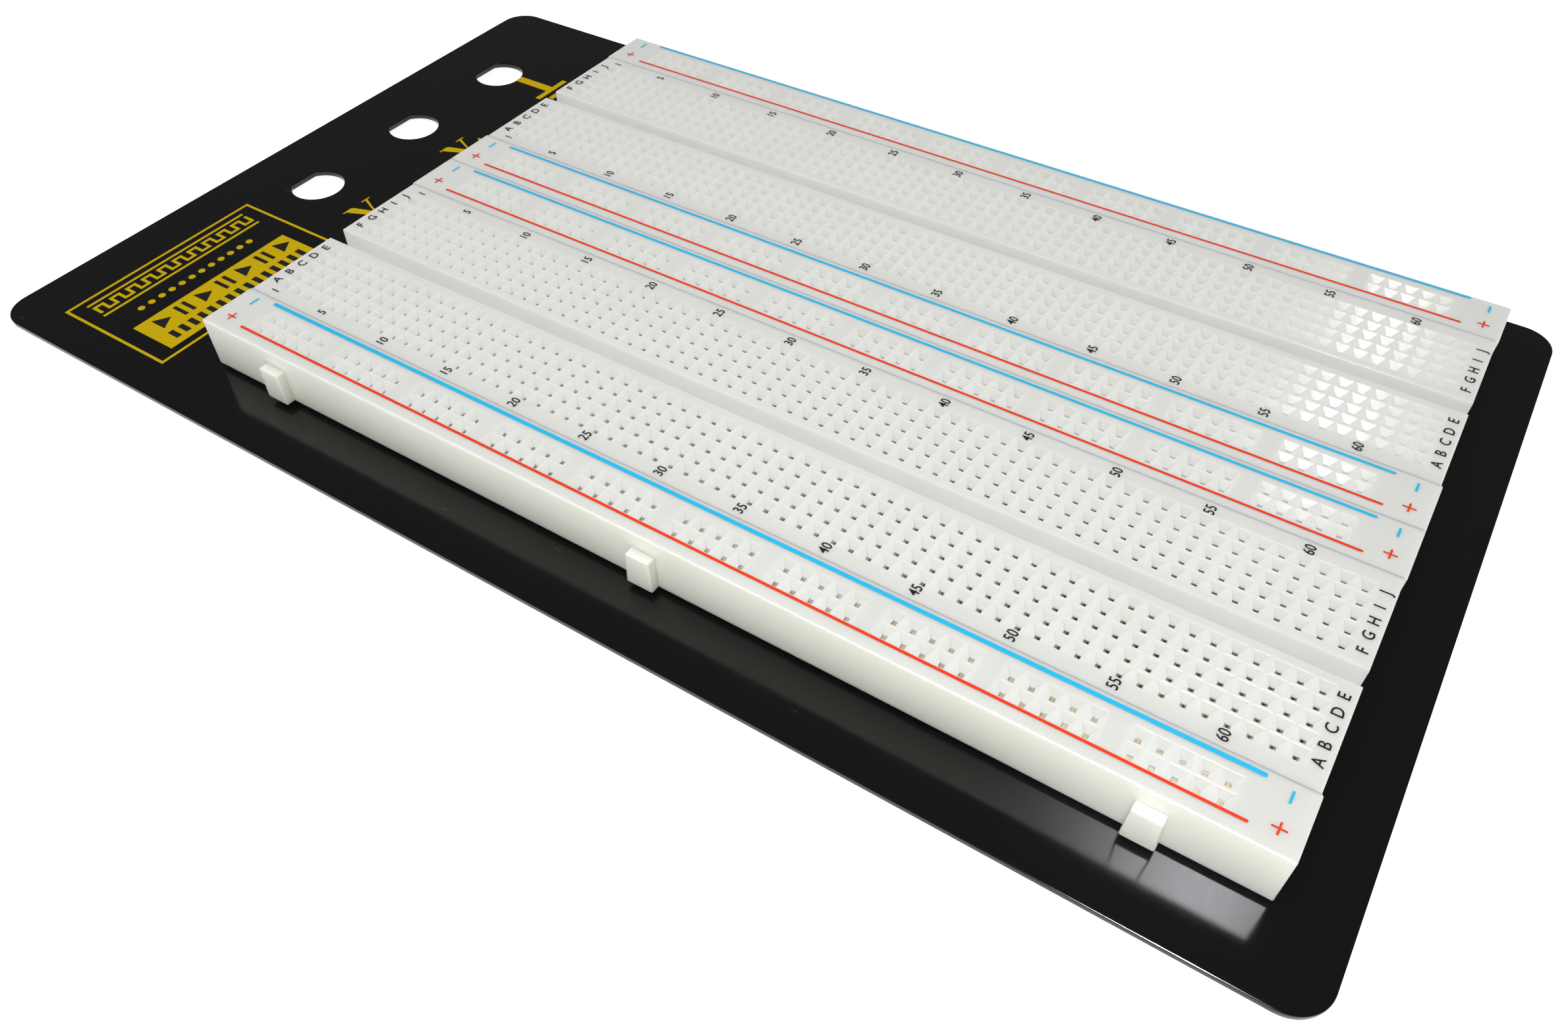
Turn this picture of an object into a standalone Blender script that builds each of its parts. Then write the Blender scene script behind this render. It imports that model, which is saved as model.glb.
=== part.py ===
# Solderless breadboard on a flat base plate with rubber feet. Metres, +Z up.
# The origin is the middle of the plate's outline, at the level the feet stand on.
# +X runs along the strips and +Y runs from the front bus strip to the rear one.
import math

import bmesh
import bpy

# The hole grid, which every other size along and across the strips follows.
PITCH = 0.00254
COLUMNS = 63
ROWS_PER_CONTACT = 5
HALF_SPACING = 7 * PITCH
BUS_ROW_OFFSET = PITCH / 2
BUS_GROUPS = 10
BUS_GROUP_SPACING = 6 * PITCH
HOLE_WIDTH = 0.00085

# Base plate.
PLATE_LENGTH = 0.2159
PLATE_WIDTH = 0.1302
PLATE_THICKNESS = 0.0010
PLATE_CORNER_RADIUS = 0.0050
PLATE_EDGE_ROUNDING = 0.00015
CORNER_STEPS = 8

# D-shaped holes in the plate for binding posts.
POST_HOLE_X = -0.09245
POST_HOLE_YS = (-0.00965, 0.01535, 0.04050)
POST_HOLE_RADIUS = 0.00475
POST_HOLE_FLAT = 0.0039
POST_HOLE_STEPS = 32

# Rubber feet.
FOOT_HEIGHT = 0.0027
FOOT_TOP_RADIUS = 0.0056
FOOT_BOTTOM_RADIUS = 0.0048
FOOT_ROUNDING = 0.0003
FOOT_INSET = 0.0080
FOOT_SIDES = 36

# Strips.
STRIP_HEIGHT = 0.0082
STRIP_ROUNDING = 0.0003
STRIP_CENTRE_X = 0.01669
STACK_CENTRE_Y = -0.00018
TERMINAL_LENGTH = 0.1646
TERMINAL_WIDTH = 0.0353
BUS_LENGTH = 0.1651
BUS_WIDTH = 0.00945
STACK = ("bus", "terminal", "bus", "bus", "terminal", "bus")
GUTTER_WIDTH = 0.0027
GUTTER_DEPTH = 0.0044

# Contact slots: one straight slot for each row of five joined holes.
SLOT_WIDTH = 0.0010
SLOT_LENGTH = (ROWS_PER_CONTACT - 1) * PITCH + HOLE_WIDTH
SLOT_DEPTH = 0.0066

# Bus contact rails and the channels that hold them, open at the bottom of the strip.
CHANNEL_WIDTH = 0.0019
CHANNEL_LENGTH = 0.1499
CHANNEL_ROOF = 0.0013
RAIL_WIDTH = 0.0013
RAIL_LENGTH = 0.1492
RAIL_HEIGHT = 0.0056
RAIL_MOUTH_WIDTH = 0.0005
RAIL_MOUTH_DEPTH = 0.0046
RAIL_NOTCH_LENGTH = 0.0022
RAIL_NOTCH_DEPTH = 0.0038

# Joining tabs on each strip's front face, and the slots for them in each rear face.
TAB_SPACING = 0.0678
TAB_COUNT = 3
TAB_HEIGHT = 0.00555
TAB_BOTTOM_WIDTH = 0.0042
TAB_TOP_WIDTH = 0.0037
TAB_REACH = 0.00147
TAB_ROOT = 0.0008

# Adhesive foam under each strip.
FOAM_INSET = 0.0010
FOAM_THICKNESS = 0.0004
FOAM_SPACE = 0.0009

# Clearances: between stacked pieces that touch, between neighbouring strips, and past a cut face.
CONTACT_GAP = 0.0003
SIDE_GAP = 0.00015
OVERCUT = 0.0010

# Edges sharper than this are rounded, or drawn sharp on a turned piece.
SHARP_ANGLE = math.radians(40)
WELD_DISTANCE = 0.000001

PLATE_BOTTOM = FOOT_HEIGHT + CONTACT_GAP
PLATE_TOP = PLATE_BOTTOM + PLATE_THICKNESS
STRIP_BOTTOM = PLATE_TOP + FOAM_SPACE
STRIP_TOP = STRIP_BOTTOM + STRIP_HEIGHT


def clear_scene():
    for old in list(bpy.data.objects):
        bpy.data.objects.remove(old, do_unlink=True)


def new_collection(name):
    collection = bpy.data.collections.new(name)
    bpy.context.scene.collection.children.link(collection)
    return collection


def new_material(name, color, metallic, roughness):
    material = bpy.data.materials.new(name)
    material.use_nodes = True
    shader = material.node_tree.nodes["Principled BSDF"]
    shader.inputs["Base Color"].default_value = (*color, 1.0)
    shader.inputs["Metallic"].default_value = metallic
    shader.inputs["Roughness"].default_value = roughness
    material.diffuse_color = (*color, 1.0)
    return material


def add_object(name, mesh, collection, material=None):
    piece = bpy.data.objects.new(name, mesh)
    collection.objects.link(piece)
    if material:
        mesh.materials.append(material)
    return piece


def box(name, size, centre, collection, material=None, top_width=None):
    """A box of the given size; top_width narrows its upper face along X."""
    bm = bmesh.new()
    bmesh.ops.create_cube(bm, size=1.0)
    for vert in bm.verts:
        vert.co.x *= size[0]
        vert.co.y *= size[1]
        vert.co.z *= size[2]
        if top_width and vert.co.z > 0:
            vert.co.x *= top_width / size[0]
    mesh = bpy.data.meshes.new(name)
    bm.to_mesh(mesh)
    bm.free()
    piece = add_object(name, mesh, collection, material)
    piece.location = centre
    return piece


def repeat(piece, count, step):
    """Repeat a cutter along one axis, centred on where it stands."""
    array = piece.modifiers.new("repeat", "ARRAY")
    array.count = count
    array.use_relative_offset = False
    array.use_constant_offset = True
    array.constant_offset_displace = step
    for axis in range(3):
        piece.location[axis] -= step[axis] * (count - 1) / 2


def round_edges(piece, width):
    bevel = piece.modifiers.new("rounded_edges", "BEVEL")
    bevel.width = width
    bevel.segments = 2
    bevel.limit_method = "ANGLE"
    bevel.angle_limit = SHARP_ANGLE


def combine(piece, other, operation):
    """Join a hidden helper solid to a piece, or cut it away."""
    other.hide_render = True
    other.display_type = "WIRE"
    modifier = piece.modifiers.new(operation.lower(), "BOOLEAN")
    modifier.operation = operation
    modifier.solver = "EXACT"
    modifier.object = other


def arc(centre, radius, start, stop, steps):
    points = []
    for step in range(steps + 1):
        angle = start + (stop - start) * step / steps
        points.append((centre[0] + radius * math.cos(angle), centre[1] + radius * math.sin(angle)))
    return points


def plate_outline():
    x = PLATE_LENGTH / 2 - PLATE_CORNER_RADIUS
    y = PLATE_WIDTH / 2 - PLATE_CORNER_RADIUS
    points = []
    for corner, (sx, sy) in enumerate(((1, 1), (-1, 1), (-1, -1), (1, -1))):
        start = corner * math.pi / 2
        points += arc((sx * x, sy * y), PLATE_CORNER_RADIUS, start, start + math.pi / 2, CORNER_STEPS)
    return points


def post_hole_outline(y):
    flat = math.acos(POST_HOLE_FLAT / POST_HOLE_RADIUS)
    return arc((POST_HOLE_X, y), POST_HOLE_RADIUS, flat - math.pi, math.pi - flat, POST_HOLE_STEPS)


def flat_sheet(name, outlines, thickness, collection, material):
    """A sheet cut to closed outlines: the first is its edge and the others are holes."""
    curve = bpy.data.curves.new(name, "CURVE")
    curve.dimensions = "2D"
    curve.fill_mode = "BOTH"
    curve.extrude = thickness / 2
    for outline in outlines:
        spline = curve.splines.new("POLY")
        spline.points.add(len(outline) - 1)
        spline.use_cyclic_u = True
        for point, (x, y) in zip(spline.points, outline):
            point.co = (x, y, 0.0, 1.0)
    drawn = bpy.data.objects.new(name + "_outline", curve)
    collection.objects.link(drawn)
    evaluated = drawn.evaluated_get(bpy.context.evaluated_depsgraph_get())
    mesh = bpy.data.meshes.new_from_object(evaluated)
    bm = bmesh.new()
    bm.from_mesh(mesh)
    bmesh.ops.remove_doubles(bm, verts=bm.verts, dist=WELD_DISTANCE)
    bm.to_mesh(mesh)
    bm.free()
    piece = add_object(name, mesh, collection, material)
    piece.matrix_world = drawn.matrix_world
    bpy.data.objects.remove(drawn, do_unlink=True)
    return piece


def add_plate(parts, material):
    outlines = [plate_outline()] + [post_hole_outline(y) for y in POST_HOLE_YS]
    plate = flat_sheet("base_plate", outlines, PLATE_THICKNESS, parts, material)
    plate.location.z = PLATE_BOTTOM + PLATE_THICKNESS / 2
    round_edges(plate, PLATE_EDGE_ROUNDING)


def add_feet(parts, material):
    x = PLATE_LENGTH / 2 - FOOT_INSET
    y = PLATE_WIDTH / 2 - FOOT_INSET
    places = {"front_left": (-x, -y), "front_right": (x, -y), "rear_left": (-x, y), "rear_right": (x, y)}
    for place, (foot_x, foot_y) in places.items():
        bm = bmesh.new()
        bmesh.ops.create_cone(
            bm, cap_ends=True, segments=FOOT_SIDES,
            radius1=FOOT_BOTTOM_RADIUS, radius2=FOOT_TOP_RADIUS, depth=FOOT_HEIGHT,
        )
        mesh = bpy.data.meshes.new("foot_" + place)
        bm.to_mesh(mesh)
        bm.free()
        foot = add_object("foot_" + place, mesh, parts, material)
        foot.location = (foot_x, foot_y, FOOT_HEIGHT / 2)
        round_edges(foot, FOOT_ROUNDING)
        mesh.shade_smooth()
        mesh.set_sharp_from_angle(angle=SHARP_ANGLE)


def add_tabs(strip, name, front_y, rear_y, cutters):
    """Tabs on the front face, and slots in the rear face that would take another strip's tabs."""
    tab_z = STRIP_BOTTOM + TAB_HEIGHT / 2
    tab_size = (TAB_BOTTOM_WIDTH, TAB_REACH + TAB_ROOT, TAB_HEIGHT)
    tab_centre = (STRIP_CENTRE_X, front_y + (TAB_ROOT - TAB_REACH) / 2, tab_z)
    tabs = box(name + "_tabs", tab_size, tab_centre, cutters, top_width=TAB_TOP_WIDTH)
    repeat(tabs, TAB_COUNT, (TAB_SPACING, 0.0, 0.0))
    combine(strip, tabs, "UNION")

    reach = TAB_REACH + CONTACT_GAP
    slot_height = TAB_HEIGHT + CONTACT_GAP + OVERCUT
    slot_size = (TAB_BOTTOM_WIDTH + 2 * CONTACT_GAP, reach + OVERCUT, slot_height)
    slot_z = STRIP_BOTTOM + TAB_HEIGHT + CONTACT_GAP - slot_height / 2
    slot_centre = (STRIP_CENTRE_X, rear_y + (OVERCUT - reach) / 2, slot_z)
    slots = box(name + "_tab_slots", slot_size, slot_centre, cutters)
    repeat(slots, TAB_COUNT, (TAB_SPACING, 0.0, 0.0))
    combine(strip, slots, "DIFFERENCE")


def add_strip_body(name, length, front_y, rear_y, parts, cutters, material):
    size = (length, rear_y - front_y, STRIP_HEIGHT)
    centre = (STRIP_CENTRE_X, (front_y + rear_y) / 2, STRIP_BOTTOM + STRIP_HEIGHT / 2)
    strip = box(name, size, centre, parts, material)
    round_edges(strip, STRIP_ROUNDING)
    add_tabs(strip, name, front_y, rear_y, cutters)
    return strip


def add_terminal_strip(name, front_y, rear_y, parts, cutters, material):
    strip = add_strip_body(name, TERMINAL_LENGTH, front_y, rear_y, parts, cutters, material)
    centre_y = (front_y + rear_y) / 2

    gutter_size = (TERMINAL_LENGTH + 2 * OVERCUT, GUTTER_WIDTH, GUTTER_DEPTH + OVERCUT)
    gutter_z = STRIP_TOP - GUTTER_DEPTH + gutter_size[2] / 2
    gutter = box(name + "_gutter", gutter_size, (STRIP_CENTRE_X, centre_y, gutter_z), cutters)
    combine(strip, gutter, "DIFFERENCE")

    slot_size = (SLOT_WIDTH, SLOT_LENGTH, SLOT_DEPTH + OVERCUT)
    slot_z = STRIP_TOP - SLOT_DEPTH + slot_size[2] / 2
    slots = box(name + "_contact_slots", slot_size, (STRIP_CENTRE_X, centre_y, slot_z), cutters)
    repeat(slots, COLUMNS, (PITCH, 0.0, 0.0))
    repeat(slots, 2, (0.0, HALF_SPACING, 0.0))
    combine(strip, slots, "DIFFERENCE")


def add_bus_strip(name, front_y, rear_y, parts, cutters, material):
    strip = add_strip_body(name, BUS_LENGTH, front_y, rear_y, parts, cutters, material)
    centre_y = (front_y + rear_y) / 2

    channel_size = (CHANNEL_LENGTH, CHANNEL_WIDTH, STRIP_HEIGHT - CHANNEL_ROOF + OVERCUT)
    channel_z = STRIP_TOP - CHANNEL_ROOF - channel_size[2] / 2
    channels = box(name + "_channels", channel_size, (STRIP_CENTRE_X, centre_y, channel_z), cutters)
    repeat(channels, 2, (0.0, 2 * BUS_ROW_OFFSET, 0.0))
    combine(strip, channels, "DIFFERENCE")

    slot_size = (SLOT_LENGTH, SLOT_WIDTH, CHANNEL_ROOF + 2 * OVERCUT)
    slot_z = STRIP_TOP - CHANNEL_ROOF / 2
    slots = box(name + "_contact_slots", slot_size, (STRIP_CENTRE_X, centre_y, slot_z), cutters)
    repeat(slots, BUS_GROUPS, (BUS_GROUP_SPACING, 0.0, 0.0))
    repeat(slots, 2, (0.0, 2 * BUS_ROW_OFFSET, 0.0))
    combine(strip, slots, "DIFFERENCE")


def add_rail(name, y, parts, cutters, material):
    """A folded spring rail: a trough along its length, notched between the groups of five holes."""
    rail_bottom = STRIP_BOTTOM + CONTACT_GAP
    rail_top = rail_bottom + RAIL_HEIGHT
    rail_size = (RAIL_LENGTH, RAIL_WIDTH, RAIL_HEIGHT)
    rail = box(name, rail_size, (STRIP_CENTRE_X, y, rail_bottom + RAIL_HEIGHT / 2), parts, material)

    mouth_size = (RAIL_LENGTH + 2 * OVERCUT, RAIL_MOUTH_WIDTH, RAIL_MOUTH_DEPTH + OVERCUT)
    mouth_z = rail_top - RAIL_MOUTH_DEPTH + mouth_size[2] / 2
    mouth = box(name + "_mouth", mouth_size, (STRIP_CENTRE_X, y, mouth_z), cutters)
    combine(rail, mouth, "DIFFERENCE")

    notch_size = (RAIL_NOTCH_LENGTH, RAIL_WIDTH + 2 * OVERCUT, RAIL_NOTCH_DEPTH + OVERCUT)
    notch_z = rail_top - RAIL_NOTCH_DEPTH + notch_size[2] / 2
    notches = box(name + "_notches", notch_size, (STRIP_CENTRE_X, y, notch_z), cutters)
    repeat(notches, BUS_GROUPS - 1, (BUS_GROUP_SPACING, 0.0, 0.0))
    combine(rail, notches, "DIFFERENCE")


def add_foam(name, length, front_y, rear_y, parts, material):
    size = (length - 2 * FOAM_INSET, rear_y - front_y - 2 * FOAM_INSET, FOAM_THICKNESS)
    centre = (STRIP_CENTRE_X, (front_y + rear_y) / 2, PLATE_TOP + FOAM_SPACE / 2)
    box(name, size, centre, parts, material)


def add_stack(parts, cutters, plastic, metal, foam):
    """The six strips side by side, front to rear, each with its contacts and its foam."""
    widths = {"bus": BUS_WIDTH, "terminal": TERMINAL_WIDTH}
    lengths = {"bus": BUS_LENGTH, "terminal": TERMINAL_LENGTH}
    counts = {"bus": 0, "terminal": 0}
    edge_y = STACK_CENTRE_Y - sum(widths[kind] for kind in STACK) / 2
    for kind in STACK:
        counts[kind] += 1
        number = str(counts[kind])
        name = kind + "_strip_" + number
        front_y = edge_y + SIDE_GAP
        rear_y = edge_y + widths[kind] - SIDE_GAP
        if kind == "bus":
            add_bus_strip(name, front_y, rear_y, parts, cutters, plastic)
            centre_y = (front_y + rear_y) / 2
            add_rail("positive_rail_" + number, centre_y - BUS_ROW_OFFSET, parts, cutters, metal)
            add_rail("negative_rail_" + number, centre_y + BUS_ROW_OFFSET, parts, cutters, metal)
        else:
            add_terminal_strip(name, front_y, rear_y, parts, cutters, plastic)
        add_foam("foam_under_" + name, lengths[kind], front_y, rear_y, parts, foam)
        edge_y += widths[kind]


def main():
    clear_scene()
    parts = new_collection("solderless_breadboard")
    cutters = new_collection("cutters")
    plate = new_material("black_plate", (0.012, 0.012, 0.014), 0.0, 0.18)
    rubber = new_material("black_rubber", (0.03, 0.03, 0.03), 0.0, 0.8)
    plastic = new_material("white_plastic", (0.82, 0.82, 0.80), 0.0, 0.45)
    metal = new_material("contact_metal", (0.72, 0.56, 0.34), 1.0, 0.3)
    foam = new_material("white_foam", (0.78, 0.77, 0.72), 0.0, 0.9)
    add_plate(parts, plate)
    add_feet(parts, rubber)
    add_stack(parts, cutters, plastic, metal, foam)


main()
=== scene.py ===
import functools
import math
import random

import bmesh
import bpy
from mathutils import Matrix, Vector


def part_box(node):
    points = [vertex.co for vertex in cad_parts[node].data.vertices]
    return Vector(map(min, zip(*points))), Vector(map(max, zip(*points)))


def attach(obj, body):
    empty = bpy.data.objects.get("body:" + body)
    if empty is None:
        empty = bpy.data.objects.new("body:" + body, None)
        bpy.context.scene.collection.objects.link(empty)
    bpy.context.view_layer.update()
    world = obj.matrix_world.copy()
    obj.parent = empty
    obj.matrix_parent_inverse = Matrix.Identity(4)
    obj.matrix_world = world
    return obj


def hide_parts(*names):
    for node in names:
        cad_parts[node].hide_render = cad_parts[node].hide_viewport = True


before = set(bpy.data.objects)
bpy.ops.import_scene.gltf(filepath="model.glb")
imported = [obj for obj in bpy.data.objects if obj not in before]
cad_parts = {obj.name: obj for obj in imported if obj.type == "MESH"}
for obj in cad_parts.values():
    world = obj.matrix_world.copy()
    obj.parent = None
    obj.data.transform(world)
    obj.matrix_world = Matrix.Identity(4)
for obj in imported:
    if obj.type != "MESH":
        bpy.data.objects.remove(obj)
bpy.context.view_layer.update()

# The hole grid of the strips, in metres like everything here.
PITCH = 0.00254
COLUMNS = 63
ROWS = 5
FIRST_ROW = 1.5 * PITCH
MIDDLE_ROW = FIRST_ROW + 2 * PITCH
BUS_ROW = PITCH / 2
BUS_GROUPS = 10
BUS_GROUP_STEP = 6 * PITCH
BUS_GROUP_REACH = (BUS_GROUPS - 1) / 2 * BUS_GROUP_STEP

# One hole: a square funnel with a chamfered lip, and a square tube down to the contact.
LIP = 0.00006
MOUTH = 0.00214
THROAT = 0.00074
FUNNEL_DEPTH = 0.00100
TUBE_DEPTH = 0.00145

# Pockets for the contacts, open at the strip's underside.
POCKET_ROOF = 0.00135
POCKET_WIDTH = 0.00130
POCKET_LENGTH = 0.01290

# Strips. TAB_REACH is how far the joining tabs stand out of the front face of the CAD strips.
FRONT = -1
REAR = 1
TAB_REACH = 0.00147
TAB_SPACING = 0.0678
TAB_TOP_WIDTH = 0.0037
TAB_BOTTOM_WIDTH = 0.0042
TAB_HEIGHT = 0.00555
TAB_ROOT = 0.0008
TAB_CLEARANCE = 0.0003
TAB_ROUNDING = 0.00025
SEAM = 0.00001
CAD_SEAM = 0.00030
EDGE_ROUNDING = 0.00024
SEAM_ROUNDING = 0.00005
GUTTER_WIDTH = 0.0027
GUTTER_DEPTH = 0.0044
GUTTER_LIP = 0.00025
OVERCUT = 0.0005
WELD_DISTANCE = 0.000002

# Shading normals: how far recess walls turn upwards, and which faces stay flat up to their rims.
RECESS_SOFTNESS = 0.93
LOWEST_SOFT_NORMAL = -0.1
FLAT_AREA = 0.000002
STRIP_SMOOTH_ANGLE = 25
RIM_LIMIT = math.cos(math.radians(STRIP_SMOOTH_ANGLE))

# Contacts: folded strips with sprung fingers. Heights are measured from the strip's top.
CLIP_SHEET = 0.00018
CLIP_FINGER_WIDTH = 0.0020
CLIP_BASE_WIDTH = 0.0015
CLIP_BASE_Z = -0.00790
RAIL_LINK_WIDTH = 0.0010
# Half of a spring pair, from its root up to the flared lead-in: distance from the middle, and height.
CLIP_FINGER = ((0.00050, -0.00790), (0.00050, -0.00560), (0.00018, -0.00280), (0.00015, -0.00235),
               (0.00028, -0.00175), (0.00048, -0.00142))

# Printed marks on the strips.
INK_THICKNESS = 0.00002
INK_LIFT = 0.000004
LINE_START = -0.07627
LINE_END = 0.07681
ROW_LETTERS = "ABCDEFGHIJ"
MARK_X = {"left": -0.08068, "right": 0.08081}
SIGN_X = {"left": -0.07928, "right": 0.07976}
CAP_HEIGHT = 0.0014
LETTER_SQUEEZE = 0.95
NUMBER_SQUEEZE = 0.86
LETTER_WEIGHT = 0.006
NUMBER_OFFSET = 0.00212
MINUS_OFFSET = 0.0026
PLUS_OFFSET = -0.0017
SIGN_LENGTH = 0.00175
MINUS_STROKE = 0.00030
PLUS_STROKE = 0.00025
# Each bus strip's red and blue line: distance from the strip's middle, and width.
BUS_LINES = {
    "bus_strip_1": {"red": (-0.00267, 0.00042), "blue": (0.00381, 0.00060)},
    "bus_strip_2": {"red": (-0.00306, 0.00040), "blue": (0.00383, 0.00045)},
    "bus_strip_3": {"red": (-0.00294, 0.00040), "blue": (0.00374, 0.00045)},
    "bus_strip_4": {"red": (-0.00293, 0.00040), "blue": (0.00402, 0.00045)},
}

# The base plate and its D-shaped holes for binding posts.
PLATE_CORNER_RADIUS = 0.0050
PLATE_EDGE_ROUNDING = 0.00020
PLATE_SMOOTH_ANGLE = 50
CORNER_STEPS = 20
POST_HOLE_X = -0.09245
POST_HOLE_YS = (-0.00965, 0.01535, 0.04050)
POST_HOLE_RADIUS = 0.00475
POST_HOLE_FLAT = 0.0039
POST_HOLE_STEPS = 64
POST_HOLE_ROUNDING = 0.00018

# Print on the plate. A flat shape is given by its edges: left, front, right, rear.
PRINT_LINE = 0.0005
LABEL_FRAME = (-0.09855, -0.05905, -0.07425, -0.02105)
TITLE_RULES = ((-0.09685, -0.05620, -0.09635, -0.02380), (-0.09255, -0.05620, -0.09205, -0.02380))
WAVE = (-0.09566, -0.05600, -0.09326, -0.02390)
WAVE_STROKE = 0.00055
WAVE_STEPS = 20
DOTS = 12
DOT_X = -0.08890
FIRST_DOT_Y = -0.05150
DOT_STEP = 0.00205
DOT_RADIUS = 0.00060
LABEL_BLOCK = (-0.08555, -0.05575, -0.07615, -0.02440)
SYMBOLS = 7
SYMBOL_TOP_X = -0.08455
SYMBOL_BOTTOM_X = -0.08125
FIRST_SYMBOL_Y = -0.05300
SYMBOL_STEP = 0.0042
TRIANGLE_WIDTH = 0.0026
BAR_WIDTH = 0.0007
BAR_STEP = 0.0016
DASHES = 15
DASH_TOP_X = -0.07985
DASH_BOTTOM_X = -0.07755
FIRST_DASH_Y = -0.05350
DASH_STEP = 0.0019
DASH_WIDTH = 0.0010

# Signs beside the post holes: a V with a small index at two of them, and the ground symbol at the third.
V_PLACES = {"a": -0.01075, "b": 0.01415}
V_X = -0.08150
V_WIDTH = 0.0064
V_HEIGHT = 0.0056
V_THICK_STROKE = 0.27
V_THIN_STROKE = 0.08
V_SERIF = 0.05
INDEX_X = -0.07700
INDEX_OFFSET = 0.0052
INDEX_HEIGHT = 0.0030
INDEX_WEIGHT = 0.02
GROUND_Y = 0.04115
GROUND_STEM = (-0.08765, 0.04020, -0.07955, 0.04210)
GROUND_BAR_WIDTH = 0.0011
# Where each bar of the ground symbol starts, and half its length.
GROUND_BARS = ((-0.07955, 0.0043), (-0.07735, 0.0028), (-0.07515, 0.0013))

# Rubber feet. FOOT_REACH carries a foot up through the gap that CAD keeps below the plate.
FOOT_PLACES = ("front_left", "front_right", "rear_left", "rear_right")
FOOT_TAPER = 0.86
FOOT_ROUNDING = 0.00045
FOOT_WAIST = 0.00012
FOOT_DISH = 0.00018
FOOT_DISH_INNER = 0.34
FOOT_DISH_OUTER = 0.40
FOOT_REACH = 0.00028
FOOT_CHAMFER = 0.0001
FOOT_STEPS = 72
FOOT_CURVE_STEPS = 6
FOOT_SMOOTH_ANGLE = 45

# Foam pads under the strips.
FOAM_GAP = 0.00002
FOAM_WANDER = 0.00012
FOAM_BULGE = 0.00010
FOAM_STEPS_X = 110
FOAM_STEP_Y = 0.0015
FOAM_LEAST_STEPS = 6
FOAM_SMOOTH_ANGLE = 40

# Colours, and how rough each ink is.
PLASTIC_DARK = (0.805, 0.81, 0.765)
PLASTIC_LIGHT = (0.83, 0.835, 0.795)
# The steep sides' colour is painted shade: the warm tone that less directly lit faces of the plastic show.
PLASTIC_SHADED_SIDE = (0.812, 0.81, 0.715)
PLASTIC_GLOW = (1.0, 0.97, 0.88)
GLOSS_BLACK = (0.006, 0.0055, 0.0055)
DUST = (0.10, 0.10, 0.10)
RUBBER_DARK = (0.016, 0.016, 0.017)
RUBBER_LIGHT = (0.035, 0.035, 0.036)
FOAM_DARK = (0.50, 0.49, 0.45)
FOAM_LIGHT = (0.76, 0.75, 0.70)
METAL_BRIGHT = (0.98, 0.88, 0.70)
METAL_TARNISH = (0.78, 0.64, 0.46)
FLOOR_DARK = (0.94, 0.94, 0.94)
FLOOR_LIGHT = (0.96, 0.96, 0.96)
WHITE = (1.0, 1.0, 1.0)
BLACK = (0.0, 0.0, 0.0)
INKS = {
    "yellow": ((0.68, 0.47, 0.003), 0.50),
    "black": ((0.02, 0.02, 0.02), 0.45),
    "red": ((1.0, 0.06, 0.015), 0.45),
    "blue": ((0.03, 0.60, 1.0), 0.45),
}

# Studio. The camera's lens is in millimetres on a 36 mm wide sensor, and its angles are in degrees.
FLOOR_REACH = 3.0
FLOOR_GLOW = 0.9
BACKDROP_RADIUS = 6.0
BACKDROP_LEVEL = 1.0
WORLD_LEVEL = 0.10
SENSOR_WIDTH = 36.0
LENS = 27.77
CAMERA_SHIFT = (0.0077, 0.0189)
CAMERA_PLACE = (0.08623, -0.13106, 0.12541)
CAMERA_ANGLES = (41.996, 0.230, 32.810)
CAMERA_CLIP_START = 0.005


# ---------------------------------------------------------------- mesh helpers

def mesh_object(name, bm, material=None, smooth_angle=None):
    bmesh.ops.recalc_face_normals(bm, faces=bm.faces)
    mesh = bpy.data.meshes.new(name)
    bm.to_mesh(mesh)
    bm.free()
    piece = bpy.data.objects.new(name, mesh)
    bpy.context.scene.collection.objects.link(piece)
    if material:
        mesh.materials.append(material)
    if smooth_angle:
        mesh.shade_smooth()
        mesh.set_sharp_from_angle(angle=math.radians(smooth_angle))
    return piece


def shared_copy(source, name):
    """A new object that uses the same mesh."""
    piece = bpy.data.objects.new(name, source.data)
    bpy.context.scene.collection.objects.link(piece)
    return piece


def add_rings(bm, rings):
    """Join rings of points, each with the same count, into a tube with closed ends."""
    loops = [[bm.verts.new(point) for point in ring] for ring in rings]
    count = len(loops[0])
    for lower, upper in zip(loops, loops[1:]):
        for i in range(count):
            j = (i + 1) % count
            bm.faces.new((lower[i], lower[j], upper[j], upper[i]))
    bm.faces.new(reversed(loops[0]))
    bm.faces.new(loops[-1])


def rectangle(x, y, half_x, half_y, z):
    return [(x - half_x, y - half_y, z), (x + half_x, y - half_y, z),
            (x + half_x, y + half_y, z), (x - half_x, y + half_y, z)]


def add_box(bm, low, high):
    x, y = (low[0] + high[0]) / 2, (low[1] + high[1]) / 2
    half_x, half_y = (high[0] - low[0]) / 2, (high[1] - low[1]) / 2
    add_rings(bm, [rectangle(x, y, half_x, half_y, low[2]), rectangle(x, y, half_x, half_y, high[2])])


def arc(x, y, radius, start, stop, steps):
    """Points along an arc, with its angles in degrees."""
    angles = [math.radians(start + (stop - start) * i / steps) for i in range(steps + 1)]
    return [(x + radius * math.cos(angle), y + radius * math.sin(angle)) for angle in angles]


def rounding_curve(radius, steps):
    """Pairs of inset and height along a quarter circle, from a flat end to an upright side."""
    angles = [math.pi / 2 * step / steps for step in range(steps + 1)]
    return [(radius * (1 - math.sin(angle)), radius * (1 - math.cos(angle))) for angle in angles]


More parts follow.
